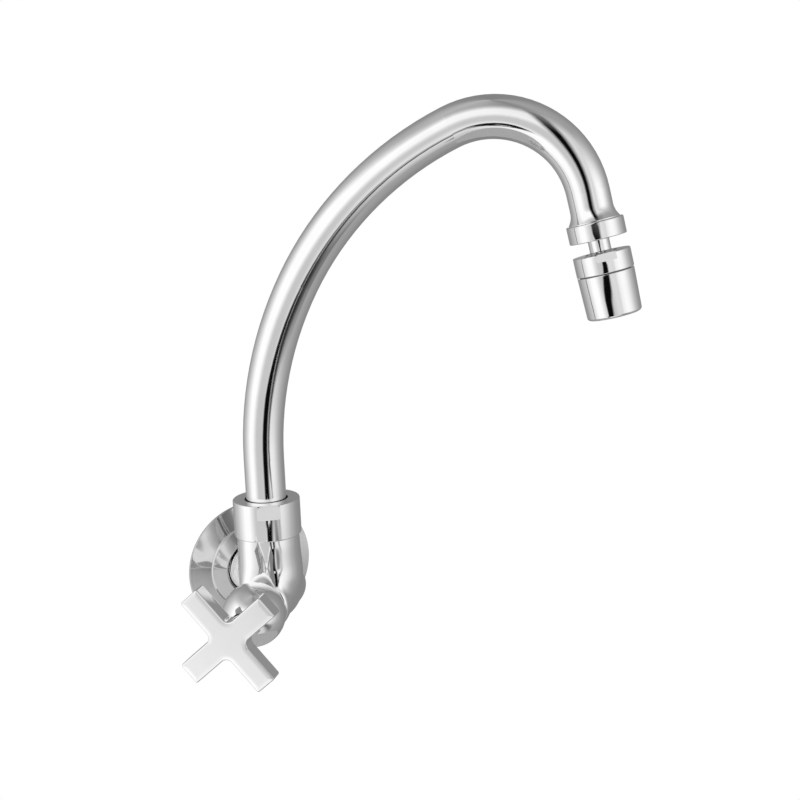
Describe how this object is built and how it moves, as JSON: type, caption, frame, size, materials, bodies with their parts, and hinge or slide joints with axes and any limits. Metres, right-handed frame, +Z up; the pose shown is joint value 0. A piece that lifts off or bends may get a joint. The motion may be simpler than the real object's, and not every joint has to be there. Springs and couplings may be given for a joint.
{
  "type": "wall-mounted kitchen tap",
  "caption": "Wall tap for a commercial kitchen sink, with a quarter-turn cross handle, a swivelling gooseneck spout and a ball-jointed aerator.",
  "frame": {"origin": "centre of the wall flange on the wall plane, on the axis of the threaded inlet", "axes": "+X to the right when facing the wall, +Y into the wall along the inlet, +Z up"},
  "size_m": [0.1966, 0.1734, 0.2637],
  "materials": {
    "chrome": "bright polished chrome plate",
    "brass": "machined brass",
    "stainless": "plain stainless steel",
    "rubber": "moulded black rubber",
    "fibre": "pressed fibre",
    "ceramic": "lapped ceramic",
    "white_plastic": "moulded acetal",
    "grey_plastic": "moulded plastic"
  },
  "bodies": {
    "tap_body": {"valve_body": "chrome", "wall_flange": "chrome", "flange_seal": "rubber", "spout_nut": "chrome", "glide_washer": "white_plastic", "cartridge_body": "brass", "cartridge_washer": "fibre", "seat_seal": "rubber", "fixed_disc": "ceramic", "bonnet_dome": "chrome"},
    "handle": {"cross_handle": "chrome", "handle_screw": "stainless", "spindle": "brass", "spindle_ring_lower": "rubber", "spindle_ring_upper": "rubber", "spindle_clip": "stainless", "moving_disc": "ceramic"},
    "spout": {"spout_tube": "chrome", "spout_ferrule": "brass", "spout_o_ring_lower": "rubber", "spout_o_ring_upper": "rubber", "outlet_ring": "chrome", "stem_washer": "rubber", "ball_stem": "chrome"},
    "ball_swivel": {"ball_liner": "white_plastic"},
    "aerator": {"aerator_nut": "chrome", "ball_seat": "white_plastic", "ball_seal": "rubber", "aerator_shell": "chrome", "aerator_washer": "rubber", "aerator_insert": "grey_plastic", "aerator_screen": "stainless"}
  },
  "joints": [
    {"name": "handle_turn", "type": "hinge", "parent": "tap_body", "child": "handle", "pos_m": [0, -0.04, 0], "axis": [-0.7071, -0.7071, 0], "range_deg": [0, 90]},
    {"name": "spout_swivel", "type": "hinge", "parent": "tap_body", "child": "spout", "pos_m": [-0.00941, -0.0494, 0.044], "axis": [0, 0, 1], "range_deg": [-150, 45]},
    {"name": "aerator_swivel", "type": "hinge", "parent": "spout", "child": "ball_swivel", "pos_m": [0.1174, -0.14358, 0.15508], "axis": [-0.1724, 0.128, 0.9767], "continuous": true},
    {"name": "aerator_tilt", "type": "hinge", "parent": "ball_swivel", "child": "aerator", "pos_m": [0.1174, -0.14358, 0.15508], "axis": [0.5962, 0.8028, 0], "range_deg": [-17, 17]}
  ]
}
